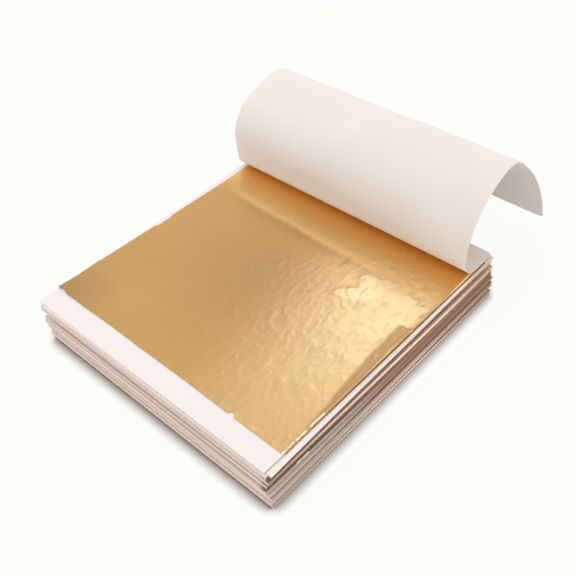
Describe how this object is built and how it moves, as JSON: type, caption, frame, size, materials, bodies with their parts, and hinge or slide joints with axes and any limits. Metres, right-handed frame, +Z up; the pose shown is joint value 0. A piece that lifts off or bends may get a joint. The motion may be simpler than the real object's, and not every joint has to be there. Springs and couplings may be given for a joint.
{
  "type": "gold leaf booklet",
  "caption": "Square booklet of thin gold leaves between loose white paper pages, bound along the back edge, its first page rolled back over the binding to bare the top leaf.",
  "frame": {"origin": "middle of the underside of the backing sheet", "axes": "+X along the front edge to the right, +Y to the bound back edge, +Z up from the table"},
  "size_m": [0.0837, 0.1189, 0.0408],
  "materials": {
    "page_paper": "matte",
    "gold_leaf": "satin",
    "backing_paper": "matte",
    "spine_glue": "satin"
  },
  "bodies": {
    "section_5": {"backing_sheet": "backing_paper", "page_21": "page_paper", "page_22": "page_paper", "page_23": "page_paper", "page_24": "page_paper", "page_25": "page_paper", "leaves_section_5": "gold_leaf", "spine_glue_section_5": "spine_glue"},
    "section_4": {"page_16": "page_paper", "page_17": "page_paper", "page_18": "page_paper", "page_19": "page_paper", "page_20": "page_paper", "leaves_section_4": "gold_leaf", "spine_glue_section_4": "spine_glue"},
    "section_3": {"page_11": "page_paper", "page_12": "page_paper", "page_13": "page_paper", "page_14": "page_paper", "page_15": "page_paper", "leaves_section_3": "gold_leaf", "spine_glue_section_3": "spine_glue"},
    "section_2": {"page_06": "page_paper", "page_07": "page_paper", "page_08": "page_paper", "page_09": "page_paper", "page_10": "page_paper", "leaves_section_2": "gold_leaf", "spine_glue_section_2": "spine_glue"},
    "section_1": {"page_01": "page_paper", "page_02": "page_paper", "page_03": "page_paper", "page_04": "page_paper", "page_05": "page_paper", "leaves_section_1": "gold_leaf", "spine_glue_section_1": "spine_glue", "spine_glue_turned_page": "spine_glue", "turned_page_bound_end": "page_paper"},
    "exposed_leaf": {"exposed_leaf": "gold_leaf"},
    "turned_page_front": {"turned_page_front": "page_paper"},
    "turned_page_top": {"turned_page_top": "page_paper"},
    "turned_page_back": {"turned_page_back": "page_paper"},
    "turned_page_free_end": {"turned_page_free_end": "page_paper"}
  },
  "joints": [
    {"name": "section_4_lift", "type": "hinge", "parent": "section_5", "child": "section_4", "pos_m": [0, 0.0451, 0.00303], "axis": [-1, 0, 0], "range_deg": [0, 16]},
    {"name": "section_3_lift", "type": "hinge", "parent": "section_4", "child": "section_3", "pos_m": [0, 0.0451, 0.00558], "axis": [-1, 0, 0], "range_deg": [0, 16]},
    {"name": "section_2_lift", "type": "hinge", "parent": "section_3", "child": "section_2", "pos_m": [0, 0.0451, 0.00813], "axis": [-1, 0, 0], "range_deg": [0, 16]},
    {"name": "section_1_lift", "type": "hinge", "parent": "section_2", "child": "section_1", "pos_m": [0, 0.0451, 0.01068], "axis": [-1, 0, 0], "range_deg": [0, 16]},
    {"name": "page_unroll", "type": "hinge", "parent": "section_1", "child": "turned_page_front", "pos_m": [-0.00135, 0.03291, 0.01499], "axis": [0.9999, 0.0099, 0.0087], "range_deg": [0, 85]},
    {"name": "page_unroll_wall", "type": "hinge", "parent": "turned_page_front", "child": "turned_page_top", "pos_m": [-0.00135, 0.03406, 0.03173], "axis": [0.9996, 0.024, 0.0177], "range_deg": [0, 72.86]},
    {"name": "page_unroll_crown", "type": "hinge", "parent": "turned_page_top", "child": "turned_page_back", "pos_m": [-0.00135, 0.05094, 0.03905], "axis": [0.9993, -0.0108, 0.036], "range_deg": [0, 60.71]},
    {"name": "page_unroll_tail", "type": "hinge", "parent": "turned_page_back", "child": "turned_page_free_end", "pos_m": [-0.00135, 0.06637, 0.02363], "axis": [0.9995, -0.015, 0.0293], "range_deg": [0, 24.29]},
    {"name": "leaf_slide", "type": "slide", "parent": "section_1", "child": "exposed_leaf", "axis": [0, -1, 0], "range_m": [0, 0.075]}
  ],
  "couplings": [
    {"joint": "page_unroll_wall", "follows": "page_unroll", "ratio": 0.85714},
    {"joint": "page_unroll_crown", "follows": "page_unroll", "ratio": 0.71429},
    {"joint": "page_unroll_tail", "follows": "page_unroll", "ratio": 0.28571}
  ]
}
